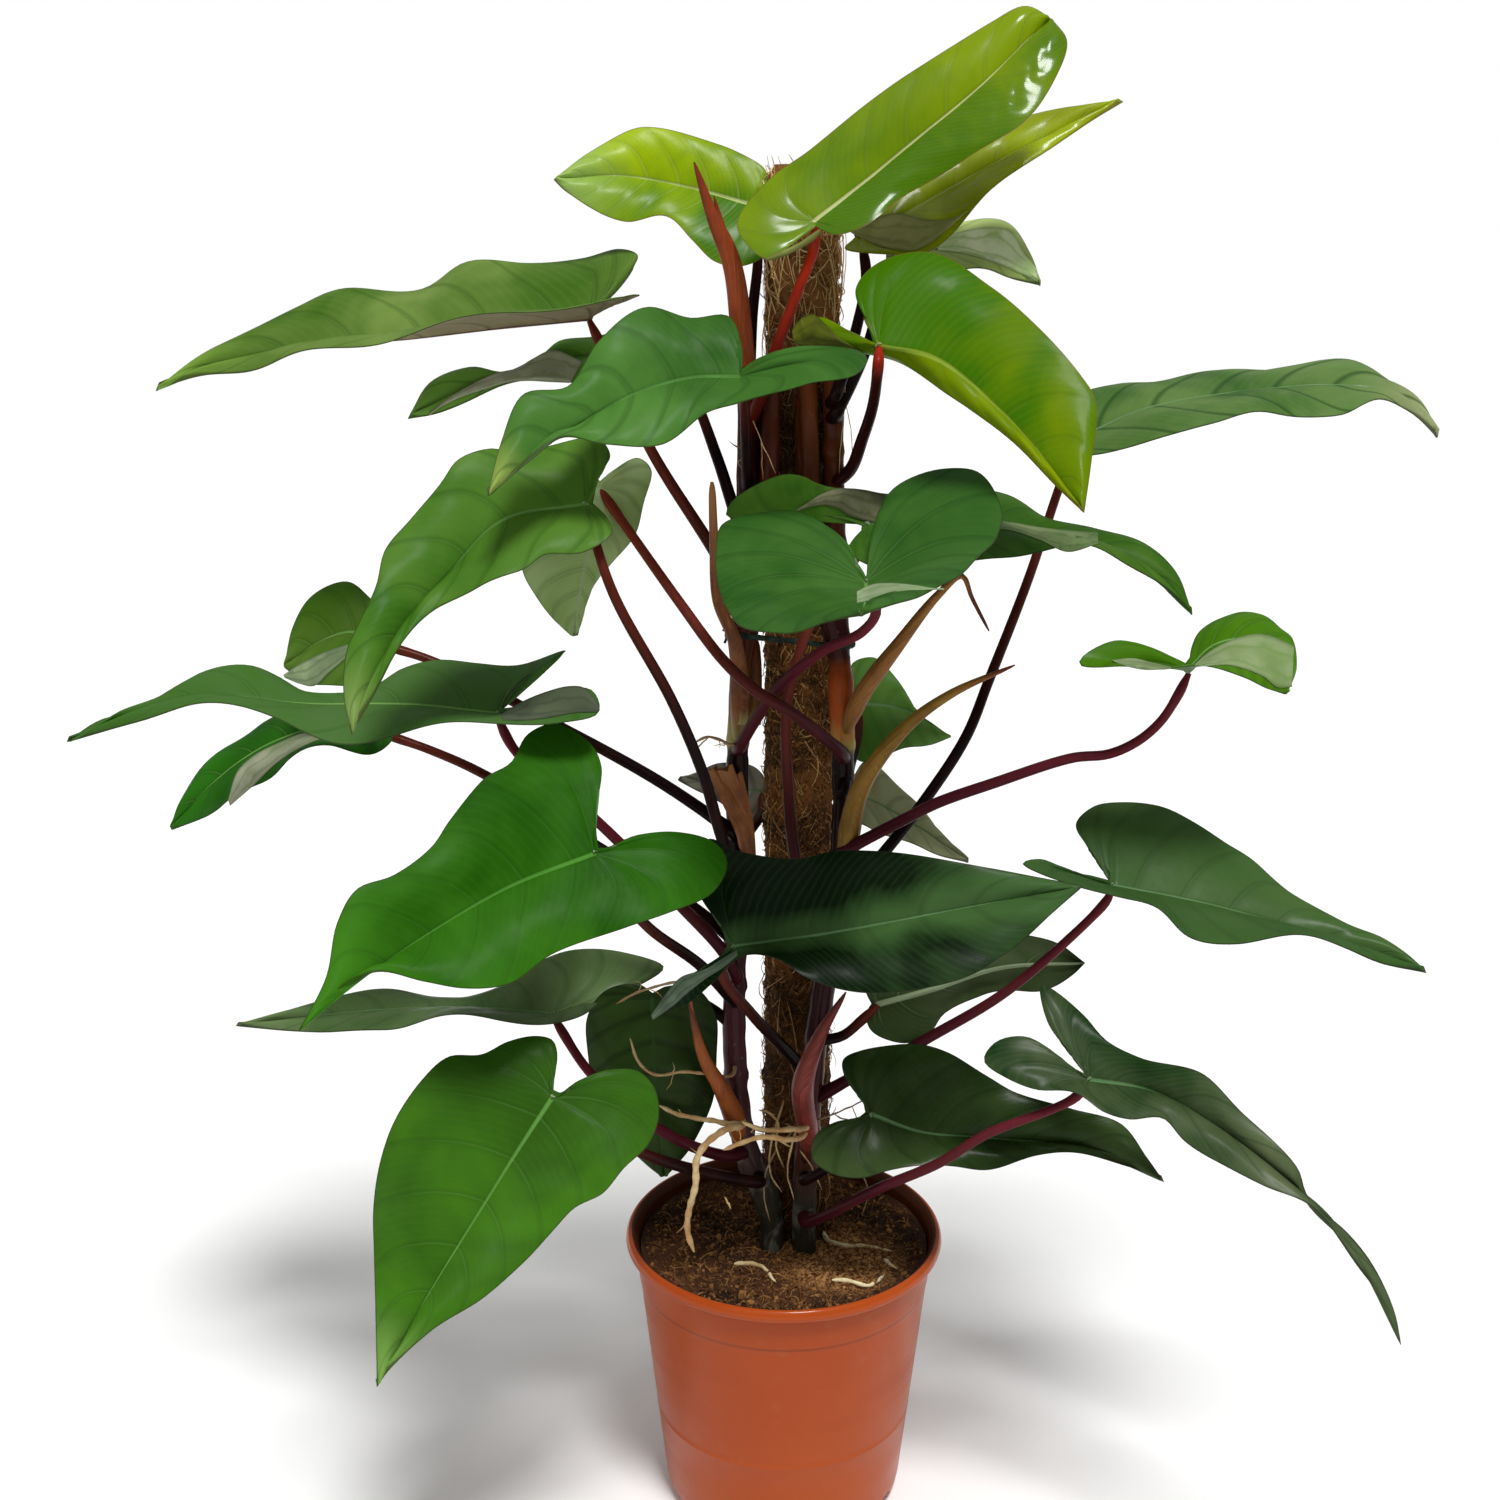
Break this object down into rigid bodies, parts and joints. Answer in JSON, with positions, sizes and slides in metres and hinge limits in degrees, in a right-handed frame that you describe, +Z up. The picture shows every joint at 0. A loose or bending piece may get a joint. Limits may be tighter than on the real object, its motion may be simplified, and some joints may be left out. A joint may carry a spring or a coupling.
{
  "type": "potted red emerald philodendron",
  "caption": "Climbing philodendron with heart-shaped green leaves on red stalks, tied to a coir pole in a tapered terracotta-coloured plastic nursery pot.",
  "frame": {"origin": "centre of the flat underside of the pot", "axes": "+Z up along the pot's axis, +X to the right and -Y towards the viewer as in the picture"},
  "size_m": [0.932, 0.408, 1.0927],
  "materials": {
    "leaf_new": "gloss",
    "leaf_mature": "satin",
    "leaf_dark": "satin",
    "stem": "satin",
    "sheath_red": "satin",
    "sheath_dry": "matte",
    "tie": "satin",
    "coir": "matte",
    "core": "matte",
    "soil": "matte",
    "pot": "satin"
  },
  "bodies": {
    "root": {"leaf_top_right_large": "leaf_new", "leaf_top_right_behind": "leaf_new", "leaf_top_back": "leaf_dark", "leaf_top_left": "leaf_new", "leaf_right_upper": "leaf_new", "leaf_left_upper_mid": "leaf_mature", "leaf_left_upper_long": "leaf_mature", "leaf_left_upper_behind": "leaf_mature", "leaf_left_mid_large": "leaf_mature", "leaf_left_mid_hanging": "leaf_mature", "leaf_left_behind_small": "leaf_mature", "leaf_left_lower_behind": "leaf_mature", "leaf_left_long": "leaf_mature", "leaf_front_left": "leaf_mature", "leaf_front_centre": "leaf_dark", "leaf_left_low_edge": "leaf_dark", "leaf_front_low_left": "leaf_mature", "leaf_low_hanging": "leaf_dark", "leaf_front_high": "leaf_mature", "leaf_right_mid_behind": "leaf_dark", "leaf_right_high_far": "leaf_dark", "leaf_right_small": "leaf_mature", "leaf_right_mid": "leaf_dark", "leaf_right_low_long": "leaf_dark", "leaf_right_low_dark": "leaf_dark", "leaf_centre_behind": "leaf_dark", "leaf_pole_right_behind": "leaf_dark", "leaf_pole_low_behind": "leaf_dark", "leaf_pole_left_behind": "leaf_dark", "stem_left": "stem", "stem_right": "stem", "sheath_new_spear": "sheath_red", "sheath_brown_stick": "sheath_dry", "sheath_brown_folded": "sheath_dry", "sheath_tan": "sheath_dry", "sheath_ochre": "sheath_dry", "sheath_low_left": "sheath_red", "sheath_low_right": "sheath_red", "pole_coir": "coir", "pole_core": "core", "tie_cord": "tie", "soil": "soil", "pot": "pot"}
  },
  "joints": []
}
